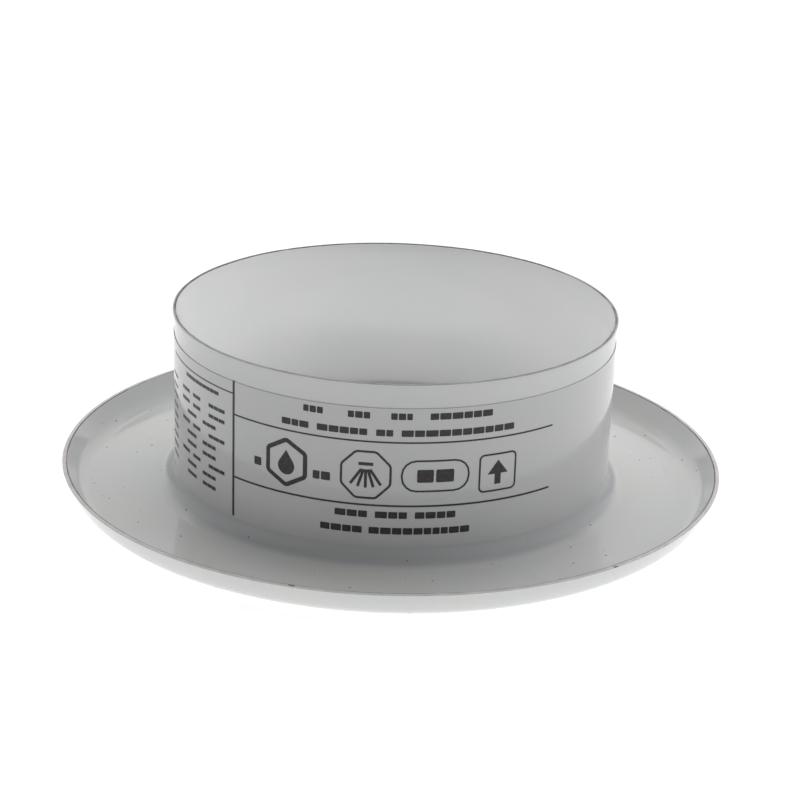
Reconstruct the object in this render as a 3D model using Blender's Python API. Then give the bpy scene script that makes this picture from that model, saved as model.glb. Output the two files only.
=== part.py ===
"""Recessed sprinkler escutcheon: a push-on closure ring, its wrap-around label and the mounting
plate that it slides on.

The closure stands on its visible face, ceiling side up. The origin is the centre of the visible
face, and +Z runs along the sleeve towards the ceiling void. Metres throughout.
"""

from math import asin, atan2, cos, hypot, pi, radians, sin, tan

import bmesh
import bpy
from mathutils import Vector

MM = 0.001

# Closure ring: one drawn pressing, a sleeve and a dished flange.
SHEET = 0.50 * MM                   # steel thickness of the closure
FLANGE_RADIUS = 36.5 * MM           # 73 mm flange, 2-7/8 in
FLANGE_HEIGHT = 3.2 * MM            # visible face to the rim that meets the ceiling, 1/8 in
FACE_RADIUS = 33.5 * MM             # where the flat visible face ends and the rim turns up
RIM_BEND = 2.2 * MM                 # outer radius of that bend
SLEEVE_RADIUS = 24.1 * MM           # outside of the sleeve
SLEEVE_TOP = 20.3 * MM              # sleeve's cut edge above the visible face
ROOT_FILLET = 2.2 * MM              # fillet between sleeve and flange, ceiling side

# Label: one strip round the sleeve, its ends a little apart at the back.
LABEL_LOW = 2.55 * MM
LABEL_HIGH = 17.7 * MM
LABEL_THICKNESS = 0.15 * MM
LABEL_STANDOFF = 0.05 * MM          # between sleeve and label
LABEL_GAP_STEPS = 2                 # facets left open at the back

# Mounting plate: a stepped pressing with a short skirt that slides in the sleeve.
PLATE_SHEET = 0.60 * MM
PLATE_FOOT = 0.60 * MM              # skirt's lower edge above the visible face, plate pushed down
SKIRT_RADIUS = 23.2 * MM            # outside of the skirt
SKIRT_TOP = 2.45 * MM               # where the skirt meets the shoulder
SEAT_RADIUS = 14.8 * MM             # flat that the pipe fitting bears on
SEAT_HEIGHT = 5.4 * MM
SHOULDER_BEND = 1.4 * MM            # outer bend radius, seat to shoulder
SKIRT_BEND = 0.75 * MM              # outer bend radius, shoulder to skirt
THREAD_HOLE_RADIUS = 10.8 * MM      # clears a 1/2 in pipe thread, 21.3 mm across
DIMPLE_COUNT = 4                    # retention dimples pressed out of the skirt
DIMPLE_REACH = 0.35 * MM            # dimple's crown beyond the skirt
DIMPLE_HALF_WIDTH = 3.4 * MM        # along the skirt
DIMPLE_FIRST = radians(45)          # turn of the first dimple from +X

SEGMENTS = 96                       # facets round every turned shape
BEND_STEPS = 5                      # facets round every bend


def material(name, colour, roughness, metallic=0.0):
    """Return a new Principled material."""
    made = bpy.data.materials.new(name)
    made.use_nodes = True
    shader = made.node_tree.nodes["Principled BSDF"]
    shader.inputs["Base Color"].default_value = (*colour, 1.0)
    shader.inputs["Roughness"].default_value = roughness
    shader.inputs["Metallic"].default_value = metallic
    return made


def add_object(name, mesh, finish):
    """Put a finished bmesh in the scene as one smooth-shaded object."""
    bmesh.ops.recalc_face_normals(mesh, faces=mesh.faces)
    data = bpy.data.meshes.new(name)
    mesh.to_mesh(data)
    mesh.free()
    data.shade_smooth()
    data.set_sharp_from_angle(angle=radians(35))
    data.materials.append(finish)
    made = bpy.data.objects.new(name, data)
    bpy.context.scene.collection.objects.link(made)
    return made


def arc(centre, radius, start, end, steps=BEND_STEPS):
    """Points of an arc in the (r, z) half plane, angles in radians from +r towards +z."""
    turn = (end - start) / steps
    angles = [start + turn * step for step in range(steps + 1)]
    return [(centre[0] + radius * cos(angle), centre[1] + radius * sin(angle)) for angle in angles]


def turned(outline):
    """Spin a closed (r, z) outline a full turn round Z."""
    mesh = bmesh.new()
    corners = [mesh.verts.new((r, 0.0, z)) for r, z in outline]
    edges = [mesh.edges.new((a, b)) for a, b in zip(corners, corners[1:] + corners[:1])]
    bmesh.ops.spin(mesh, geom=corners + edges, cent=(0, 0, 0), axis=(0, 0, 1),
                   angle=2 * pi, steps=SEGMENTS, use_merge=True)
    return mesh


def rim_slope():
    """Angle of the rim above the flat face: the line from the rim's edge tangent to the bend."""
    across = FLANGE_RADIUS - FACE_RADIUS
    up = FLANGE_HEIGHT - RIM_BEND
    return atan2(up, across) + asin(RIM_BEND / hypot(across, up))


def closure_outline():
    """Section of the closure, clockwise from the sleeve's outer top edge."""
    slope = rim_slope()
    bend_centre = (FACE_RADIUS, RIM_BEND)
    root_centre = (SLEEVE_RADIUS + ROOT_FILLET, SHEET + ROOT_FILLET)
    edge_width = SHEET / sin(slope)
    sleeve_outer_top = [(SLEEVE_RADIUS, SLEEVE_TOP)]
    root_outer = arc(root_centre, ROOT_FILLET, pi, 1.5 * pi)
    bend_inner = arc(bend_centre, RIM_BEND - SHEET, -pi / 2, -pi / 2 + slope)
    rim_edge = [(FLANGE_RADIUS - edge_width, FLANGE_HEIGHT), (FLANGE_RADIUS, FLANGE_HEIGHT)]
    bend_outer = arc(bend_centre, RIM_BEND, -pi / 2 + slope, -pi / 2)
    root_inner = arc(root_centre, ROOT_FILLET + SHEET, 1.5 * pi, pi)
    sleeve_inner_top = [(SLEEVE_RADIUS - SHEET, SLEEVE_TOP)]
    return (sleeve_outer_top + root_outer + bend_inner + rim_edge + bend_outer + root_inner
            + sleeve_inner_top)


def build_closure(finish):
    return add_object("closure_ring", turned(closure_outline()), finish)


def build_label(finish):
    """Spin the strip's section most of the way round; its two ends stay closed by the section."""
    inner = SLEEVE_RADIUS + LABEL_STANDOFF
    outer = inner + LABEL_THICKNESS
    section = [(inner, LABEL_LOW), (outer, LABEL_LOW), (outer, LABEL_HIGH), (inner, LABEL_HIGH)]
    step = 2 * pi / SEGMENTS
    gap = LABEL_GAP_STEPS * step
    first = pi / 2 + gap / 2
    mesh = bmesh.new()
    corners = [mesh.verts.new((r * cos(first), r * sin(first), z)) for r, z in section]
    bmesh.ops.spin(mesh, geom=[mesh.faces.new(corners)], cent=(0, 0, 0), axis=(0, 0, 1),
                   angle=2 * pi - gap, steps=SEGMENTS - LABEL_GAP_STEPS, use_merge=False)
    return add_object("wrap_label", mesh, finish)


def plate_outline():
    """Section of the mounting plate, from the thread hole outwards over the top and back."""
    shoulder = atan2(SEAT_HEIGHT - SKIRT_TOP, SKIRT_RADIUS - SEAT_RADIUS)
    seat_centre = (SEAT_RADIUS - SHOULDER_BEND * tan(shoulder / 2), SEAT_HEIGHT - SHOULDER_BEND)
    skirt_drop = SKIRT_BEND * tan((pi / 2 - shoulder) / 2)
    skirt_centre = (SKIRT_RADIUS - SKIRT_BEND, SKIRT_TOP - skirt_drop)
    top = ([(THREAD_HOLE_RADIUS, SEAT_HEIGHT)]
           + arc(seat_centre, SHOULDER_BEND, pi / 2, pi / 2 - shoulder, steps=3)
           + arc(skirt_centre, SKIRT_BEND, pi / 2 - shoulder, 0))
    skirt_rows = 4
    skirt_length = skirt_centre[1] - PLATE_FOOT
    heights = [skirt_centre[1] - skirt_length * row / skirt_rows for row in range(1, skirt_rows + 1)]
    skirt = [(SKIRT_RADIUS, z) for z in heights]
    skirt_inner = [(SKIRT_RADIUS - PLATE_SHEET, z) for z in reversed(heights)]
    underside = (arc(skirt_centre, SKIRT_BEND - PLATE_SHEET, 0, pi / 2 - shoulder)
                 + arc(seat_centre, SHOULDER_BEND - PLATE_SHEET, pi / 2 - shoulder, pi / 2, steps=3)
                 + [(THREAD_HOLE_RADIUS, SEAT_HEIGHT - PLATE_SHEET)])
    return top + skirt + skirt_inner + underside


def press_dimples(mesh):
    """Push the skirt outwards in a smooth bump at each retention dimple."""
    low = PLATE_FOOT
    high = SKIRT_TOP
    middle = (low + high) / 2
    half_height = (high - low) / 2
    for vert in mesh.verts:
        radius = hypot(vert.co.x, vert.co.y)
        if radius < SKIRT_RADIUS - PLATE_SHEET - 0.01 * MM or vert.co.z > high:
            continue
        turn = atan2(vert.co.y, vert.co.x) - DIMPLE_FIRST
        pitch = 2 * pi / DIMPLE_COUNT
        along = ((turn + pitch / 2) % pitch - pitch / 2) * SKIRT_RADIUS
        up = vert.co.z - middle
        if abs(along) > DIMPLE_HALF_WIDTH or abs(up) > half_height:
            continue
        bump = cos(pi / 2 * along / DIMPLE_HALF_WIDTH) ** 2 * cos(pi / 2 * up / half_height) ** 2
        outwards = Vector((vert.co.x, vert.co.y, 0.0)).normalized()
        vert.co += outwards * DIMPLE_REACH * bump


def build_plate(finish):
    mesh = turned(plate_outline())
    press_dimples(mesh)
    return add_object("mounting_plate", mesh, finish)


def main():
    for old in list(bpy.data.objects):
        bpy.data.objects.remove(old, do_unlink=True)
    build_closure(material("white_enamel", (0.80, 0.81, 0.81), 0.30))
    build_label(material("printed_film", (0.78, 0.79, 0.78), 0.42))
    build_plate(material("white_enamel_plate", (0.80, 0.81, 0.81), 0.34))


main()
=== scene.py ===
"""Looks of a recessed sprinkler escutcheon: an enamelled closure ring with a printed label round its
sleeve, and the mounting plate that slides inside it.

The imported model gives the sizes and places. Lengths are metres, and +Z runs up the sleeve.
"""

import random
from math import acos, asin, atan2, cos, hypot, pi, radians, sin, tan

import bmesh
import bpy
from mathutils import Matrix, Vector, noise

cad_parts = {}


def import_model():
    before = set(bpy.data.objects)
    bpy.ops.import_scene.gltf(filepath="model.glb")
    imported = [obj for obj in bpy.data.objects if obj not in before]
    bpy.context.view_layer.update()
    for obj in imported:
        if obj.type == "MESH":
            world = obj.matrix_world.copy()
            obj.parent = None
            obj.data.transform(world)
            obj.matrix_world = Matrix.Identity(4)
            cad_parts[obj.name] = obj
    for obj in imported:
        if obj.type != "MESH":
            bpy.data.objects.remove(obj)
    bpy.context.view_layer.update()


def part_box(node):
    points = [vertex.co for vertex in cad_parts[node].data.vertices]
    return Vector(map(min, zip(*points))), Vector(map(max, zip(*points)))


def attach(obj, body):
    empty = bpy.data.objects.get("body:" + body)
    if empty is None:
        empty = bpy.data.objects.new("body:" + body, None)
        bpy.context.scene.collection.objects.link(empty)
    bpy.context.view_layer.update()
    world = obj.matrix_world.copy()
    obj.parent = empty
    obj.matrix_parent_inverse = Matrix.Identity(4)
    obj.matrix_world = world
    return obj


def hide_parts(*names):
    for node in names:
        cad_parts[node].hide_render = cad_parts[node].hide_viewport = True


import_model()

MM = 0.001
ring_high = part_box("closure_ring")[1]
label_low, label_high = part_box("wrap_label")
plate_low, plate_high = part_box("mounting_plate")

# Closure ring.
SHEET = 0.50 * MM
FLANGE_RADIUS = ring_high.x
SLEEVE_TOP = ring_high.z
FLANGE_HEIGHT = 3.2 * MM
FACE_RADIUS = FLANGE_RADIUS - 3.0 * MM
RIM_BEND = 2.2 * MM
ROOT_FILLET = 2.2 * MM
LABEL_BUILD = 0.2 * MM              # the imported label's gap and thickness together
SLEEVE_RADIUS = label_high.x - LABEL_BUILD
EDGE_ROUND = 0.09 * MM
BARE_SLEEVE = 0.24 * MM             # bare strip of the sleeve's cut edge, beside its inner corner
BARE_RIM = 0.11 * MM                # the same on the flange's rim
SLEEVE_EDGE = 0.11 * MM             # the sleeve's cut edge lies in this depth, with its rounding
RIM_EDGE = 0.10 * MM                # the same on the rim
TAPER_DEPTH = 1.8 * MM              # the sleeve's top flares and thins over this depth
TAPER_PAST = 0.4 * MM               # the taper's far end would be this much past the edge
FLARE_OUTSIDE = 0.18 * MM           # how far its outside would move at the taper's far end
FLARE_INSIDE = 0.34 * MM            # the same for its inside

# Label and its print.
FILM_THICKNESS = 0.06 * MM
FILM_INNER = SLEEVE_RADIUS + 0.005 * MM
FILM_OUTER = FILM_INNER + FILM_THICKNESS
FILM_FOOT = label_low.z + 0.1 * MM
FILM_TOP = label_high.z
FILM_GAP = radians(7.5)
INK_DEPTH = 0.01 * MM               # how far the ink shapes reach into the film
INK_HEIGHT = 0.014 * MM             # how far they stand off it
INK_SLICE = 0.5 * MM                # they are cut across at this step, so that they bend with it
PRINT_SLANT = 0.0037                # the print runs slightly downhill

# Mounting plate.
PLATE_SHEET = 0.60 * MM
PLATE_FOOT = plate_low.z
SEAT_HEIGHT = plate_high.z
SKIRT_RADIUS = plate_high.x
SKIRT_TOP = PLATE_FOOT + 1.85 * MM
SEAT_RADIUS = SKIRT_RADIUS - 8.4 * MM
SHOULDER_BEND = 1.4 * MM
SKIRT_BEND = 0.75 * MM
SKIRT_INSIDE = SKIRT_RADIUS - PLATE_SHEET - 0.01 * MM  # only the skirt is farther out than this
THREAD_HOLE_RADIUS = 10.8 * MM
DIMPLE_COUNT = 4
DIMPLE_REACH = 0.35 * MM
DIMPLE_HALF_WIDTH = 3.4 * MM
DIMPLE_FIRST = radians(45)

WALL_PAINTED_SHADE = 0.07                  # painted shade: how much darker the enamel is made on the walls than on the flange
ROOT_PAINTED_SHADE = 0.14                  # painted shade and reflection: the same for the darker blue-grey band on the root fillet

SEGMENTS = 288                      # facets round every turned shape


# ---------------------------------------------------------------- mesh helpers

def finished(name, mesh, materials, smooth_below=radians(32)):
    """Link a bmesh as a smooth-shaded object at the origin."""
    data = bpy.data.meshes.new(name)
    mesh.to_mesh(data)
    mesh.free()
    data.shade_smooth()
    data.set_sharp_from_angle(angle=smooth_below)
    for material in materials:
        data.materials.append(material)
    made = bpy.data.objects.new(name, data)
    bpy.context.scene.collection.objects.link(made)
    return made


def section(corners):
    """A closed outline in the XZ plane from (r, z, corner radius) points, its corners rounded."""
    mesh = bmesh.new()
    verts = [mesh.verts.new((r, 0.0, z)) for r, z, _ in corners]
    mesh.faces.new(verts)
    for index, (r, z, radius) in enumerate(corners):
        if not radius:
            continue
        before = Vector(corners[index - 1][:2]) - Vector((r, z))
        after = Vector(corners[(index + 1) % len(corners)][:2]) - Vector((r, z))
        turn = pi - before.angle(after)
        bmesh.ops.bevel(mesh, geom=[verts[index]], offset=radius * tan(turn / 2),
                        offset_type="OFFSET", segments=max(3, round(turn / radians(9))),
                        profile=0.5, affect="VERTICES", material=-1, clamp_overlap=False)
    bmesh.ops.delete(mesh, geom=list(mesh.faces), context="FACES_ONLY")
    return mesh


def turned(mesh):
    """Spin an outline a full turn round Z."""
    bmesh.ops.spin(mesh, geom=list(mesh.verts) + list(mesh.edges), cent=(0, 0, 0), axis=(0, 0, 1),
                   angle=2 * pi, steps=SEGMENTS, use_merge=True)
    bmesh.ops.recalc_face_normals(mesh, faces=mesh.faces)
    return mesh


def smooth_step(low, high, value):
    share = min(1.0, max(0.0, (value - low) / (high - low)))
    return share * share * (3 - 2 * share)


def outwards(vert):
    return Vector((vert.co.x, vert.co.y, 0.0)).normalized()


# ---------------------------------------------------------------- materials

class Finish:
    """A material's nodes, with short calls to add and join them."""

    def __init__(self, name):
        self.material = bpy.data.materials.new(name)
        self.material.use_nodes = True
        self.tree = self.material.node_tree
        self.shader = self.tree.nodes["Principled BSDF"]
        self.place = self.add("TexCoord").outputs["Object"]

    def put(self, socket, value):
        if isinstance(value, bpy.types.NodeSocket):
            self.tree.links.new(value, socket)
        else:
            socket.default_value = value

    def add(self, kind, settings=None, **inputs):
        node = self.tree.nodes.new("ShaderNode" + kind)
        for key, value in (settings or {}).items():
            setattr(node, key, value)
        for key, value in inputs.items():
            self.put(node.inputs[key.replace("_", " ")], value)
        return node

    def surface(self, **inputs):
        for key, value in inputs.items():
            self.put(self.shader.inputs[key.replace("_", " ")], value)
        return self.material

    def noise(self, size, detail=2.0, roughness=0.5):
        """Soft noise whose largest blobs are about the given size."""
        texture = self.add("TexNoise", Scale=1 / size, Detail=detail, Roughness=roughness,
                           Vector=self.place)
        return texture.outputs["Fac"]

    def range(self, value, low, high, new_low=0.0, new_high=1.0):
        """Remap a value smoothly, held at the new range's ends."""
        node = self.add("MapRange", {"interpolation_type": "SMOOTHSTEP"})
        settings = {"Value": value, "From Min": low, "From Max": high, "To Min": new_low,
                    "To Max": new_high}
        for key, setting in settings.items():
            self.put(node.inputs[key], setting)
        return node.outputs["Result"]

    def maths(self, operation, first, second=0.0):
        node = self.add("Math", {"operation": operation})
        self.put(node.inputs[0], first)
        self.put(node.inputs[1], second)
        return node.outputs[0]

    def mix(self, share, first, second):
        node = self.add("Mix", {"data_type": "RGBA"})
        self.put(node.inputs[0], share)
        self.put(node.inputs[6], first)
        self.put(node.inputs[7], second)
        return node.outputs[2]

    def bump(self, height, distance, under=None):
        node = self.add("Bump", Height=height, Distance=distance)
        if under is not None:
            self.put(node.inputs["Normal"], under)
        return node.outputs["Normal"]

    def height(self):
        """Height above the visible face."""
        return self.add("SeparateXYZ", Vector=self.place).outputs["Z"]

    def flat(self):
        """The place with its height left out."""
        node = self.add("VectorMath", {"operation": "MULTIPLY"})
        self.put(node.inputs[0], self.place)
        self.put(node.inputs[1], (1.0, 1.0, 0.0))
        return node.outputs[0]

    def radius(self):
        """Distance from the sleeve's axis."""
        length = self.add("VectorMath", {"operation": "LENGTH"})
        self.put(length.inputs[0], self.flat())
        return length.outputs["Value"]

    def specks(self, cell, reach, share):
        """A mask of small round spots: at most one in each cell, and many cells left empty."""
        cells = self.add("TexVoronoi", Scale=1 / cell, Vector=self.place)
        chance = self.add("SeparateColor", Color=cells.outputs["Color"]).outputs["Red"]
        spot = self.range(chance, 1 - share, 1.0, 0.0, reach / cell)
        inside = self.maths("SUBTRACT", spot, cells.outputs["Distance"])
        return self.range(inside, 0.0, 0.15 * reach / cell)


def shade(value, tint=(1.0, 1.0, 1.0)):
    return (value * tint[0], value * tint[1], value * tint[2], 1.0)


def scratches(finish):
    """A mask of a few fine curved hairlines, each only some millimetres long."""
    path = finish.maths("ABSOLUTE", finish.maths("SUBTRACT", finish.noise(16 * MM, 1.0), 0.5))
    line = finish.range(path, 0.0003, 0.0012, 1.0, 0.0)
    stretch = finish.range(finish.noise(6 * MM, 1.0), 0.63, 0.67)
    return finish.maths("MULTIPLY", line, stretch)


def white_enamel(name, albedo=0.73):
    """Glossy enamel: walls darker by painted shade, a blue-grey band of painted shade and reflection on
    the root fillet, and dusty specks on the flange.
    """
    finish = Finish(name)
    clouds = finish.range(finish.noise(11 * MM, 3.0), 0.35, 0.65)
    flange_tint = finish.mix(clouds, shade(albedo, (1.0, 0.994, 0.978)),
                             shade(albedo, (0.985, 0.996, 1.0)))
    # Painted shade: the walls get a darker copy of the enamel than the flange.
    shaded_wall_albedo = albedo - WALL_PAINTED_SHADE
    shaded_wall_tint = finish.mix(clouds, shade(shaded_wall_albedo, (0.997, 1.0, 0.990)),
                           shade(shaded_wall_albedo, (0.978, 0.996, 1.0)))
    on_wall = finish.range(finish.height(), SHEET + 0.1 * MM, SHEET + ROOT_FILLET)
    on_flange = finish.maths("SUBTRACT", 1.0, on_wall)
    colour = finish.mix(on_wall, flange_tint, shaded_wall_tint)
    radius = finish.radius()
    # Painted shade and reflection: a darker blue-grey band round the root fillet, between the flange and
    # the label's foot.
    outside = finish.range(radius, SLEEVE_RADIUS - 0.7 * MM, SLEEVE_RADIUS - 0.5 * MM)
    fillet_end = SLEEVE_RADIUS + ROOT_FILLET
    near_root = finish.range(radius, fillet_end, fillet_end + 0.5 * MM, 1.0, 0.0)
    above_flange = finish.range(finish.height(), SHEET + 0.1 * MM, SHEET + 0.6 * MM)
    below_label = finish.range(finish.height(), FILM_FOOT, FILM_FOOT + 0.4 * MM, 1.0, 0.0)
    painted_root_shade = finish.maths("MULTIPLY", finish.maths("MULTIPLY", outside, near_root),
                             finish.maths("MULTIPLY", above_flange, below_label))
    colour = finish.mix(painted_root_shade, colour, shade(albedo - ROOT_PAINTED_SHADE, (0.955, 0.982, 1.0)))
    dust_and_edge_shade = finish.maths("MULTIPLY", finish.specks(1.2 * MM, 0.14 * MM, 0.9), on_flange)
    pinholes = finish.specks(0.8 * MM, 0.05 * MM, 0.4)
    colour = finish.mix(finish.maths("MULTIPLY", dust_and_edge_shade, 0.85), colour, (0.15, 0.11, 0.08, 1.0))
    colour = finish.mix(finish.maths("MULTIPLY", pinholes, 0.35), colour, (0.22, 0.21, 0.20, 1.0))
    hairlines = finish.maths("MULTIPLY", scratches(finish), on_flange)
    colour = finish.mix(finish.maths("MULTIPLY", hairlines, 0.35), colour, (0.30, 0.29, 0.28, 1.0))
    peel = finish.bump(finish.noise(1.1 * MM, 1.0), 0.0008 * MM)
    waves = finish.bump(finish.noise(7 * MM), 0.006 * MM, under=peel)
    normal = finish.bump(dust_and_edge_shade, 0.02 * MM, under=waves)
    gloss = finish.range(finish.noise(4 * MM, 3.0), 0.3, 0.7, 0.06, 0.11)
    return finish.surface(Base_Color=colour, Roughness=gloss, Normal=normal, IOR=1.5)


def bare_strip(name):
    """The part of the sheared edge that the enamel left bare: brownish steel with dark nicks."""
    finish = Finish(name)
    grain = finish.noise(0.5 * MM, 3.0, 0.6)
    steel = finish.mix(finish.range(grain, 0.35, 0.65), (0.13, 0.118, 0.108, 1.0),
                       (0.24, 0.222, 0.205, 1.0))
    nicks = finish.range(finish.noise(3 * MM, 3.0, 0.6), 0.59, 0.65)
    colour = finish.mix(nicks, steel, (0.035, 0.026, 0.02, 1.0))
    paint = finish.range(finish.noise(6 * MM), 0.50, 0.66)
    thin_paint = finish.maths("MULTIPLY", paint, 0.65)
    colour = finish.mix(thin_paint, colour, shade(0.50, (1.0, 0.96, 0.93)))
    metal = finish.range(paint, 0.0, 1.0, 0.4, 0.0)
    return finish.surface(Base_Color=colour, Metallic=metal, Roughness=0.5,
                          Normal=finish.bump(grain, 0.01 * MM))


def thin_enamel(name, albedo):
    """Enamel stretched thin over a cut edge, so that the warm primer shows through it."""
    finish = Finish(name)
    cover = finish.range(finish.noise(1.6 * MM, 3.0, 0.6), 0.35, 0.65)
    colour = finish.mix(cover, shade(albedo - 0.04, (1.0, 0.955, 0.93)),
                        shade(albedo + 0.04, (1.0, 0.98, 0.965)))
    chips = finish.range(finish.noise(2.4 * MM, 3.0, 0.65), 0.69, 0.72)
    colour = finish.mix(finish.maths("MULTIPLY", chips, 0.85), colour, (0.12, 0.085, 0.065, 1.0))
    return finish.surface(Base_Color=colour, Roughness=0.22, IOR=1.5,
                          Normal=finish.bump(cover, 0.006 * MM))


def label_film(name):
    """Glossy film, a little darker than the enamel under it."""
    finish = Finish(name)
    clouds = finish.range(finish.noise(9 * MM, 3.0), 0.35, 0.65)
    colour = finish.mix(clouds, shade(0.585, (0.992, 1.0, 0.988)), shade(0.585, (0.982, 1.0, 0.996)))
    smudges = finish.specks(2.0 * MM, 0.09 * MM, 0.5)
    colour = finish.mix(finish.maths("MULTIPLY", smudges, 0.4), colour, (0.30, 0.28, 0.25, 1.0))
    normal = finish.bump(finish.noise(6 * MM, 1.0), 0.004 * MM)
    gloss = finish.range(finish.noise(3 * MM, 3.0), 0.3, 0.7, 0.09, 0.14)
    return finish.surface(Base_Color=colour, Roughness=gloss, Normal=normal, IOR=1.48)


def film_edge(name):
    """The film's cut edge in a mottled grey, darker than the film: a painted shadow line along the
    film's step.
    """
    finish = Finish(name)
    # Painted shade: the mottled grey stands in for the shadow along the film's edge.
    dust_and_edge_shade = finish.range(finish.noise(0.8 * MM, 3.0, 0.6), 0.35, 0.65)
    colour = finish.mix(dust_and_edge_shade, shade(0.56), shade(0.42))
    return finish.surface(Base_Color=colour, Roughness=0.5)


def print_ink(name):
    """Black ribbon ink: a warm black with slightly broken coverage."""
    finish = Finish(name)
    cover = finish.noise(0.3 * MM, 2.0, 0.6)
    colour = finish.mix(finish.range(cover, 0.35, 0.75), (0.020, 0.018, 0.016, 1.0),
                        (0.048, 0.044, 0.040, 1.0))
    return finish.surface(Base_Color=colour, Roughness=finish.range(cover, 0.3, 0.7, 0.34, 0.46),
                          IOR=1.45)


# ---------------------------------------------------------------- closure ring

def rim_slope():
    """Angle of the turned-up rim: the line from its edge tangent to the bend."""
    across = FLANGE_RADIUS - FACE_RADIUS
    up = FLANGE_HEIGHT - RIM_BEND
    return atan2(up, across) + asin(RIM_BEND / hypot(across, up))


def closure_section():
    """From the sleeve's outer top edge down and out to the rim, and back underneath."""
    slope = rim_slope()
    edge_width = SHEET / sin(slope)
    outer_foot = FLANGE_RADIUS - FLANGE_HEIGHT / tan(slope)
    inner_foot = FLANGE_RADIUS - edge_width - (FLANGE_HEIGHT - SHEET) / tan(slope)
    return section([
        (SLEEVE_RADIUS, SLEEVE_TOP, EDGE_ROUND),
        (SLEEVE_RADIUS, SHEET, ROOT_FILLET),
        (inner_foot, SHEET, RIM_BEND - SHEET),
        (FLANGE_RADIUS - edge_width, FLANGE_HEIGHT, EDGE_ROUND),
        (FLANGE_RADIUS - edge_width + BARE_RIM, FLANGE_HEIGHT, 0),
        (FLANGE_RADIUS, FLANGE_HEIGHT, EDGE_ROUND),
        (outer_foot, 0.0, RIM_BEND),
        (SLEEVE_RADIUS - SHEET, 0.0, ROOT_FILLET + SHEET),
        (SLEEVE_RADIUS - SHEET, SLEEVE_TOP, EDGE_ROUND),
        (SLEEVE_RADIUS - SHEET + BARE_SLEEVE, SLEEVE_TOP, 0),
    ])


def uneven_edge(mesh, edge_height, depth, inner_radius, outer_radius):
    """Lower a cut edge by a few hundredths here and there, as a trimming die leaves it."""
    for vert in mesh.verts:
        if not inner_radius < hypot(vert.co.x, vert.co.y) < outer_radius:
            continue
        share = smooth_step(edge_height - depth, edge_height, vert.co.z)
        around = outwards(vert)
        slow = noise.noise(around * 4.0)
        fine = noise.noise(around * 34.0)
        vert.co.z -= share * (0.025 + 0.02 * slow + 0.012 * fine) * MM


def pinched_top(mesh):
    """Flare the sleeve's top a little and thin it, as pinch trimming leaves it."""
    for vert in mesh.verts:
        radius = vert.co.xy.length
        if radius > SLEEVE_RADIUS + 0.1 * MM:
            continue
        across = (radius - SLEEVE_RADIUS + SHEET) / SHEET
        share = smooth_step(SLEEVE_TOP - TAPER_DEPTH, SLEEVE_TOP + TAPER_PAST, vert.co.z)
        vert.co += outwards(vert) * share * (FLARE_INSIDE + (FLARE_OUTSIDE - FLARE_INSIDE) * across)


def closure_shell():
    mesh = closure_section()
    walls = [edge for edge in mesh.edges
             if abs(edge.verts[0].co.z - edge.verts[1].co.z) > SLEEVE_TOP / 2]
    bmesh.ops.subdivide_edges(mesh, edges=walls, cuts=24)
    turned(mesh)
    uneven_edge(mesh, SLEEVE_TOP, 0.9 * MM, 0.0, FACE_RADIUS)
    uneven_edge(mesh, FLANGE_HEIGHT, 0.5 * MM, FACE_RADIUS, 2 * FLANGE_RADIUS)
    rim_inner = FLANGE_RADIUS - SHEET / sin(rim_slope())
    for face in mesh.faces:
        middle = face.calc_center_median()
        at_top = middle.z > SLEEVE_TOP - SLEEVE_EDGE
        at_rim = middle.z > FLANGE_HEIGHT - RIM_EDGE and middle.xy.length > FACE_RADIUS
        if (at_top or at_rim) and face.normal.z > 0.3:
            bare_end = SLEEVE_RADIUS - SHEET + BARE_SLEEVE if at_top else rim_inner + BARE_RIM
            painted = 2 if at_top else 3
            face.material_index = 1 if middle.xy.length < bare_end else painted
    pinched_top(mesh)
    materials = [white_enamel("closure enamel"), bare_strip("closure bare strip"),
                 thin_enamel("sleeve cut edge", 0.40), thin_enamel("rim cut edge", 0.69)]
    shell = finished("closure_shell", mesh, materials)
    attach(shell, "closure")
    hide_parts("closure_ring")


# ---------------------------------------------------------------- label

def film_lift(angle, height):
    """How far the film stands off its true cylinder: faint waves, and edges that lift a little."""
    around = Vector((sin(angle), -cos(angle), 0.0))
    waves = noise.noise(around * 3.2 + Vector((0.0, 0.0, height / (9 * MM))))
    near_foot = 1 - smooth_step(0.0, 1.2 * MM, height - FILM_FOOT)
    near_top = 1 - smooth_step(0.0, 0.9 * MM, FILM_TOP - height)
    lift = max(0.0, noise.noise(around * 5.0 + Vector((7.0, 0.0, 0.0))))
    return (0.006 * waves + 0.006 + 0.05 * lift * near_foot + 0.02 * lift * near_top) * MM


def wrapped(mesh, inner_radius):
    """Bend a flat shape round the sleeve: x runs along the label, y outwards and z up."""
    for vert in mesh.verts:
        angle = vert.co.x / FILM_OUTER
        radius = inner_radius + vert.co.y + film_lift(angle, vert.co.z)
        vert.co = Vector((radius * sin(angle), -radius * cos(angle), vert.co.z))
    bmesh.ops.recalc_face_normals(mesh, faces=mesh.faces)


def raised(mesh, height):
    """Give a flat shape its thickness, outwards."""
    grown = bmesh.ops.extrude_face_region(mesh, geom=list(mesh.faces))
    verts = [item for item in grown["geom"] if isinstance(item, bmesh.types.BMVert)]
    bmesh.ops.translate(mesh, vec=(0.0, height, 0.0), verts=verts)


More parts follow.
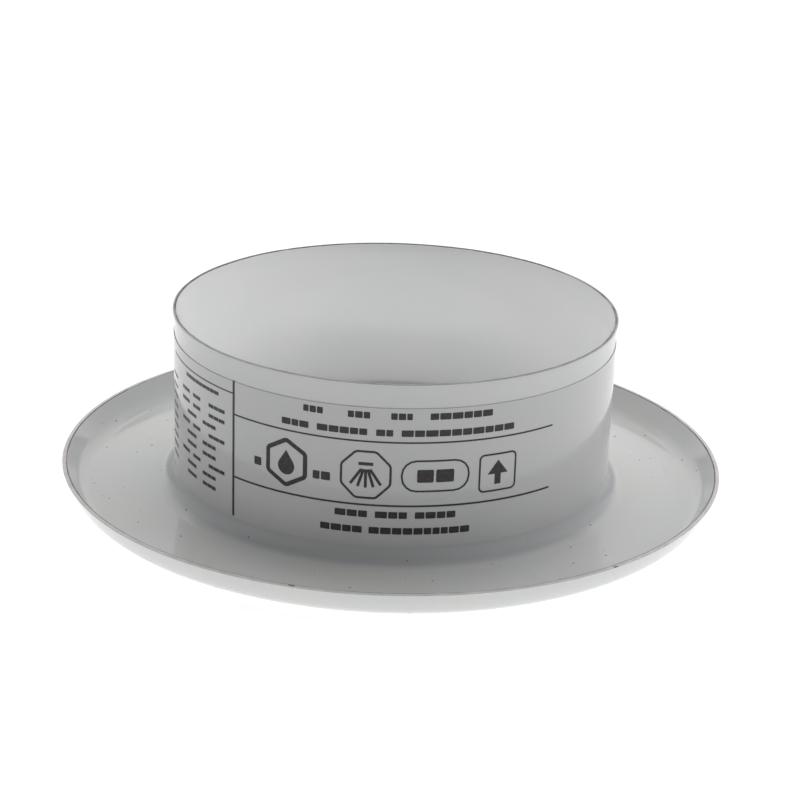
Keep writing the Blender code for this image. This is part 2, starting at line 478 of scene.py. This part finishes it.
def label_strip():
    half_length = (pi - FILM_GAP / 2) * FILM_OUTER
    mesh = bmesh.new()
    bmesh.ops.create_grid(mesh, x_segments=300, y_segments=30, size=0.5)
    lifted = Matrix.Translation((0.0, 0.0, (FILM_FOOT + FILM_TOP) / 2))
    upright = lifted @ Matrix.Rotation(pi / 2, 4, "X")
    stretch = Matrix.Diagonal((2 * half_length, FILM_TOP - FILM_FOOT, 1.0, 1.0))
    bmesh.ops.transform(mesh, matrix=upright @ stretch, verts=mesh.verts)
    raised(mesh, FILM_THICKNESS)
    for face in mesh.faces:
        if abs(face.normal.y) < 0.5:
            face.material_index = 1
    wrapped(mesh, FILM_INNER)
    strip = finished("label_strip", mesh, [label_film("label film"), film_edge("film edge")])
    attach(strip, "closure")
    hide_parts("wrap_label")


def polygon(middle, radius, sides, turn=0.0, squash=1.0):
    """Corners of a regular shape, optionally flattened."""
    angles = [turn + 2 * pi * step / sides for step in range(sides)]
    return [(middle[0] + radius * cos(a), middle[1] + squash * radius * sin(a)) for a in angles]


def oblong(left, right, low, high):
    return [(left, low), (right, low), (right, high), (left, high)]


class Print:
    """Ink shapes on the unrolled label, in millimetres: along from its front middle, and up."""

    def __init__(self):
        self.mesh = bmesh.new()
        self.chance = random.Random(11)

    def shape(self, points, rounding=0.0, line=0.0):
        """A filled shape, or only its outline where a line width is given."""
        piece = bmesh.new()
        face = piece.faces.new([piece.verts.new((x * MM, 0.0, z * MM)) for x, z in points])
        if rounding:
            bmesh.ops.bevel(piece, geom=list(piece.verts), offset=rounding * MM, segments=4,
                            offset_type="OFFSET", profile=0.5, affect="VERTICES", material=-1)
            face = piece.faces[:][0]
        if line:
            bmesh.ops.inset_region(piece, faces=[face], thickness=line * MM, use_boundary=True,
                                   use_even_offset=True)
            bmesh.ops.delete(piece, geom=[face], context="FACES_ONLY")
        flat = bpy.data.meshes.new("ink shape")
        piece.to_mesh(flat)
        piece.free()
        self.mesh.from_mesh(flat)
        bpy.data.meshes.remove(flat)

    def bar(self, left, right, low, high):
        self.shape(oblong(left, right, low, high))

    def rule(self, left, right, height, width):
        self.bar(left, right, height - width / 2, height + width / 2)

    def word(self, left, right, low, high, count):
        """A row of plain blocks in place of a word's letters."""
        gap = 0.16 * (high - low)
        shares = [self.chance.uniform(0.8, 1.2) for _ in range(count)]
        room = right - left - gap * (count - 1)
        start = left
        for share in shares:
            width = room * share / sum(shares)
            self.shape(oblong(start, start + width, low, high), rounding=0.12 * (high - low))
            start += width + gap

    def line_of_words(self, low, cap, words, fill=0.66):
        """Words as (left, right, letter count); fill is the blocks' share of the capitals' height."""
        margin = (1 - fill) / 2 * cap
        for left, right, count in words:
            self.word(left, right, low + margin, low + cap - margin, count)


def sliced(mesh, axis, step):
    """Cut a flat shape across at every step, so that it can bend."""
    normal = Vector((0.0, 0.0, 0.0))
    normal[axis] = 1.0
    places = [vert.co[axis] for vert in mesh.verts]
    place = min(places) + step / 2
    while place < max(places):
        geometry = list(mesh.verts) + list(mesh.edges) + list(mesh.faces)
        bmesh.ops.bisect_plane(mesh, geom=geometry, dist=1e-8, plane_co=normal * place, plane_no=normal)
        place += step


def side_panel(ink):
    """The narrow panel at the left: a heading, a rule and nine short rows."""
    ink.rule(-32.0, -17.8, 16.32, 0.15)
    ink.line_of_words(15.15, 0.8, [(-27.2, -20.2, 9)], fill=0.5)
    long_row = [(-28.4, -26.3, 3), (-25.4, -23.7, 2), (-22.0, -19.2, 3)]
    short_row = [(-26.9, -24.6, 3), (-23.2, -20.7, 3)]
    row_pitch = 1.14
    for row in range(9):
        low = 13.40 - row_pitch * row
        is_long = row in (0, 1, 3, 6)
        ink.line_of_words(low, 0.8, long_row if is_long else short_row, fill=0.5)
        ink.line_of_words(low, 0.8, [(-33.2, -30.6, 3)], fill=0.34)


def main_panel(ink):
    """Two rows of words, two rules with room between them for the four approval-style marks, and two
    more rows.
    """
    ink.line_of_words(16.35, 1.05, [(-9.1, -7.0, 3), (-4.4, -2.15, 3), (-0.05, 2.1, 3), (3.9, 10.45, 6)])
    ink.line_of_words(14.55, 1.05, [(-11.5, -8.5, 3), (-7.6, -2.4, 5), (-1.5, 0.2, 2), (1.05, 13.0, 10)])
    ink.rule(-17.65, 18.15, 14.07, 0.18)
    ink.rule(-17.65, 18.1, 7.17, 0.21)
    ink.line_of_words(5.6, 1.1, [(-5.55, -2.2, 3), (-1.4, 1.85, 3), (2.65, 6.85, 4)])
    ink.line_of_words(3.85, 1.1, [(-7.05, -2.7, 4), (-2.0, 8.4, 10)])


def drop_mark(ink):
    """A water drop in a thick hexagon, with a small block at each side."""
    middle = (-10.95, 10.55)
    ink.shape(polygon(middle, 2.75, 6, turn=radians(30)), rounding=0.35, line=0.47)
    body = 0.95
    tip = 1.75
    opening = acos(body / tip)
    arc = [pi / 2 + opening + (2 * pi - 2 * opening) * step / 16 for step in range(17)]
    base = (middle[0], middle[1] - 0.4)
    round_part = [(base[0] + body * cos(a), base[1] + body * sin(a)) for a in arc]
    ink.shape([(base[0], base[1] + tip)] + round_part)
    ink.word(-14.85, -13.95, 9.45, 10.35, 1)
    ink.word(-7.95, -6.1, 9.4, 10.3, 2)


def spray_mark(ink):
    """A thin octagon with a sprinkler's spray: a bar and five strokes falling from it."""
    middle = (-2.45, 10.45)
    ink.shape(polygon(middle, 2.85, 8, turn=radians(22.5)), rounding=0.3, line=0.24)
    ink.bar(middle[0] - 0.75, middle[0] + 0.75, middle[1] + 1.0, middle[1] + 1.35)
    for step in range(-2, 3):
        lean = radians(17) * step
        along = Vector((sin(lean), -cos(lean)))
        across = Vector((cos(lean), sin(lean))) * 0.15
        top = Vector(middle) + Vector((0.22 * step, 0.6))
        foot = top + along * 2.0
        ink.shape([tuple(top - across), tuple(foot - across), tuple(foot + across), tuple(top + across)])


def bar_mark(ink):
    """A flat rounded frame round two blocks."""
    ink.shape(oblong(1.1, 8.2, 8.7, 12.2), rounding=1.6, line=0.2)
    ink.word(2.75, 6.55, 9.75, 11.15, 2)


def arrow_mark(ink):
    """An upward arrow in a frame with round corners."""
    ink.shape(oblong(9.2, 13.5, 8.15, 12.35), rounding=0.6, line=0.2)
    ink.shape([(10.2, 10.1), (12.5, 10.1), (11.35, 11.6)])
    ink.bar(11.0, 11.7, 8.95, 10.1)


def label_print():
    ink = Print()
    ink.bar(-17.95, -17.65, 2.72, 17.70)
    side_panel(ink)
    main_panel(ink)
    drop_mark(ink)
    spray_mark(ink)
    bar_mark(ink)
    arrow_mark(ink)
    mesh = ink.mesh
    raised(mesh, INK_DEPTH + INK_HEIGHT)
    sliced(mesh, 0, INK_SLICE)
    sliced(mesh, 2, INK_SLICE)
    for vert in mesh.verts:
        vert.co.z -= PRINT_SLANT * vert.co.x
    wrapped(mesh, FILM_OUTER - INK_DEPTH)
    printed = finished("label_print", mesh, [print_ink("ribbon ink")])
    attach(printed, "closure")


# ---------------------------------------------------------------- mounting plate

def mitre(corner, normals, depth):
    """The matching corner on the sheet's other side, straight through its thickness."""
    first, second = (Vector(normal) for normal in normals)
    return Vector(corner) - depth * (first + second) / (1 + first.dot(second))


def plate_section():
    """From the thread hole over the seat and shoulder to the skirt's foot, and back underneath."""
    shoulder = atan2(SEAT_HEIGHT - SKIRT_TOP, SKIRT_RADIUS - SEAT_RADIUS)
    sloping = (sin(shoulder), cos(shoulder))
    seat_corner = mitre((SEAT_RADIUS, SEAT_HEIGHT), ((0.0, 1.0), sloping), PLATE_SHEET)
    skirt_corner = mitre((SKIRT_RADIUS, SKIRT_TOP), (sloping, (1.0, 0.0)), PLATE_SHEET)
    return section([
        (THREAD_HOLE_RADIUS, SEAT_HEIGHT, EDGE_ROUND),
        (SEAT_RADIUS, SEAT_HEIGHT, SHOULDER_BEND),
        (SKIRT_RADIUS, SKIRT_TOP, SKIRT_BEND),
        (SKIRT_RADIUS, PLATE_FOOT, EDGE_ROUND),
        (SKIRT_RADIUS - PLATE_SHEET, PLATE_FOOT, EDGE_ROUND),
        (skirt_corner.x, skirt_corner.y, SKIRT_BEND - PLATE_SHEET),
        (seat_corner.x, seat_corner.y, SHOULDER_BEND - PLATE_SHEET),
        (THREAD_HOLE_RADIUS, SEAT_HEIGHT - PLATE_SHEET, EDGE_ROUND),
    ])


def press_dimples(mesh):
    """Push the skirt outwards in a smooth bump at each retention dimple."""
    middle = (PLATE_FOOT + SKIRT_TOP) / 2
    half_height = (SKIRT_TOP - PLATE_FOOT) / 2
    pitch = 2 * pi / DIMPLE_COUNT
    for vert in mesh.verts:
        along = atan2(vert.co.y, vert.co.x) - DIMPLE_FIRST
        along = ((along + pitch / 2) % pitch - pitch / 2) * SKIRT_RADIUS
        up = vert.co.z - middle
        on_skirt = vert.co.xy.length > SKIRT_INSIDE
        if on_skirt and abs(along) < DIMPLE_HALF_WIDTH and abs(up) < half_height:
            bump = cos(pi / 2 * along / DIMPLE_HALF_WIDTH) ** 2 * cos(pi / 2 * up / half_height) ** 2
            vert.co += outwards(vert) * DIMPLE_REACH * bump


def plate_pressing():
    mesh = plate_section()
    skirt = [edge for edge in mesh.edges
             if min(vert.co.x for vert in edge.verts) > SKIRT_INSIDE
             and abs(edge.verts[0].co.z - edge.verts[1].co.z) > 0.8 * MM]
    bmesh.ops.subdivide_edges(mesh, edges=skirt, cuts=9)
    turned(mesh)
    press_dimples(mesh)
    for face in mesh.faces:
        middle = face.calc_center_median()
        at_hole = middle.xy.length < THREAD_HOLE_RADIUS + 0.02 * MM
        if at_hole or (middle.z < PLATE_FOOT + 0.02 * MM and face.normal.z < -0.35):
            face.material_index = 1
    materials = [white_enamel("plate enamel", 0.76), thin_enamel("plate cut edge", 0.6)]
    pressing = finished("plate_pressing", mesh, materials)
    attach(pressing, "plate")
    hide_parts("mounting_plate")


# ---------------------------------------------------------------- studio

VIEW_DISTANCE = 241.9 * MM
VIEW_AIM = Vector((0.77 * MM, 0.0, 9.43 * MM))
VIEW_TILT = radians(20.904)
VIEW_ROLL = radians(1.858)
VIEW_LENS = 98.1
STAGE_RADIUS = 0.45
SWEEP_RADIUS = 0.30
WALL_HEIGHT = 0.55
LIGHT_DISTANCE = 0.62
LAMP_HEIGHT = 10.3 * MM
LAMP_RADIUS = 1.5 * MM


def camera():
    data = bpy.data.cameras.new("camera")
    data.lens = VIEW_LENS
    data.sensor_width = 36.0
    data.clip_start = 0.01
    made = bpy.data.objects.new("camera", data)
    back = Vector((0.0, -cos(VIEW_TILT), sin(VIEW_TILT))) * VIEW_DISTANCE
    tilt = Matrix.Rotation(pi / 2 - VIEW_TILT, 4, "X") @ Matrix.Rotation(VIEW_ROLL, 4, "Z")
    made.matrix_world = Matrix.Translation(VIEW_AIM + back) @ tilt
    bpy.context.scene.collection.objects.link(made)
    bpy.context.scene.camera = made


FLOOR_CENTRE_GLOW = 0.86
FLOOR_GLOW = 0.81
WALL_GLOW = {"back": 0.80, "front": 0.04, "left": 0.25, "right": 0.25}
WALL_SIDES = (("back", "Y", 1.0), ("front", "Y", -1.0), ("left", "X", -1.0), ("right", "X", 1.0))


def stage_paper(name):
    """Pale paper lit from behind: brightest under the object, and on the wall at the back."""
    finish = Finish(name)
    fibre = finish.noise(1.5 * MM, 3.0)
    colour = finish.mix(finish.range(fibre, 0.3, 0.7), shade(0.26), shade(0.30))
    compass = finish.add("VectorMath", {"operation": "NORMALIZE"})
    finish.put(compass.inputs[0], finish.flat())
    towards = finish.add("SeparateXYZ", Vector=compass.outputs[0])
    glow = 0.0
    for side, axis, sign in WALL_SIDES:
        facing = finish.maths("MAXIMUM", finish.maths("MULTIPLY", towards.outputs[axis], sign), 0.0)
        share = finish.maths("MULTIPLY", facing, facing)
        glow = finish.maths("ADD", finish.maths("MULTIPLY", share, WALL_GLOW[side]), glow)
    on_wall = finish.range(finish.height(), 0.0, 0.12)
    floor = finish.range(finish.radius(), 0.05, 0.13, FLOOR_CENTRE_GLOW, FLOOR_GLOW)
    on_floor = finish.maths("SUBTRACT", 1.0, on_wall)
    strength = finish.maths("ADD", finish.maths("MULTIPLY", on_wall, glow),
                            finish.maths("MULTIPLY", on_floor, floor))
    return finish.surface(Base_Color=colour, Roughness=0.9, Emission_Color=shade(1.0),
                          Emission_Strength=strength)


def stage():
    """A round sheet of paper that sweeps up into a low wall all round."""
    mesh = bmesh.new()
    wall_radius = STAGE_RADIUS + SWEEP_RADIUS
    corners = [(0.0, 0.0), (wall_radius, 0.0), (wall_radius, WALL_HEIGHT)]
    verts = [mesh.verts.new((r, 0.0, z)) for r, z in corners]
    for first, second in zip(verts, verts[1:]):
        mesh.edges.new((first, second))
    bmesh.ops.bevel(mesh, geom=[verts[1]], offset=SWEEP_RADIUS, segments=16, offset_type="OFFSET",
                    profile=0.5, affect="VERTICES", material=-1)
    bmesh.ops.spin(mesh, geom=list(mesh.verts) + list(mesh.edges), cent=(0, 0, 0), axis=(0, 0, 1),
                   angle=2 * pi, steps=96, use_merge=True)
    bmesh.ops.remove_doubles(mesh, verts=mesh.verts, dist=1e-6)
    bmesh.ops.recalc_face_normals(mesh, faces=mesh.faces)
    bmesh.ops.reverse_faces(mesh, faces=mesh.faces)
    paper = finished("stage_paper", mesh, [stage_paper("stage paper")], smooth_below=radians(60))


def softbox(name, azimuth, elevation, width, height, power):
    """A soft light aimed at the object and unseen in its gloss. Azimuth 0 is behind the camera."""
    data = bpy.data.lights.new(name, "AREA")
    data.shape = "RECTANGLE"
    data.size = width
    data.size_y = height
    data.energy = power
    made = bpy.data.objects.new(name, data)
    across = cos(elevation) * LIGHT_DISTANCE
    place = Vector((across * sin(azimuth), -across * cos(azimuth), sin(elevation) * LIGHT_DISTANCE))
    made.matrix_world = Matrix.Translation(place) @ place.to_track_quat("Z", "Y").to_matrix().to_4x4()
    made.visible_glossy = False
    bpy.context.scene.collection.objects.link(made)


def inside_lamp(power):
    """A small unseen lamp on the axis: light through an open bottom, which the plate shuts off."""
    data = bpy.data.lights.new("inside_lamp", "POINT")
    data.energy = power
    data.shadow_soft_size = LAMP_RADIUS
    made = bpy.data.objects.new("inside_lamp", data)
    made.matrix_world = Matrix.Translation((0.0, 0.0, LAMP_HEIGHT))
    made.visible_glossy = False
    made.visible_camera = False
    bpy.context.scene.collection.objects.link(made)


def lights():
    softbox("top_softbox", radians(180), radians(78), 0.8, 0.6, 1.42)
    softbox("back_softbox", radians(180), radians(50), 0.9, 0.3, 1.05)
    softbox("high_right_softbox", radians(118), radians(55), 0.45, 0.35, 0.26)
    softbox("low_right_softbox", radians(92), radians(24), 0.5, 0.25, 0.70)
    softbox("high_left_softbox", radians(-118), radians(55), 0.45, 0.35, 0.06)
    softbox("low_left_softbox", radians(-92), radians(24), 0.5, 0.25, 0.14)
    inside_lamp(0.0076)


def world():
    made = bpy.data.worlds.new("studio")
    made.use_nodes = True
    background = made.node_tree.nodes["Background"]
    background.inputs["Color"].default_value = (1.0, 1.0, 1.0, 1.0)
    background.inputs["Strength"].default_value = 0.02
    bpy.context.scene.world = made


# ---------------------------------------------------------------- scene

camera()
closure_shell()
label_strip()
label_print()
plate_pressing()
stage()
lights()
world()
bpy.context.scene.view_settings.view_transform = "Standard"
